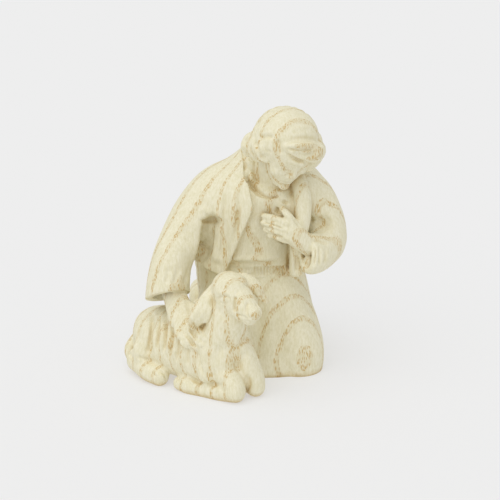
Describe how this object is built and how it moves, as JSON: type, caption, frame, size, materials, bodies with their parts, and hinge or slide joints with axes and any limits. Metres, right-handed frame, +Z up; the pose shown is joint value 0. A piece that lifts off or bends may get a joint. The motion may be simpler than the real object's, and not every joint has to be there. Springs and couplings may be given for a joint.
{
  "type": "nativity shepherd figurine",
  "caption": "Carved wooden nativity figurine of a kneeling shepherd in an open coat, one hand on the chest and one on a lying sheep.",
  "frame": {"origin": "middle of the box around the carving, on the level of its flat underside", "axes": "+Z up, -Y towards the viewer whom the sheep and the shepherd's knees face, +X to the viewer's right"},
  "size_m": [0.0688, 0.0738, 0.0862],
  "materials": {
    "ash_wood": "natural, unvarnished, fine sanded"
  },
  "bodies": {
    "root": {"shepherd_with_sheep": "ash_wood"}
  },
  "joints": []
}
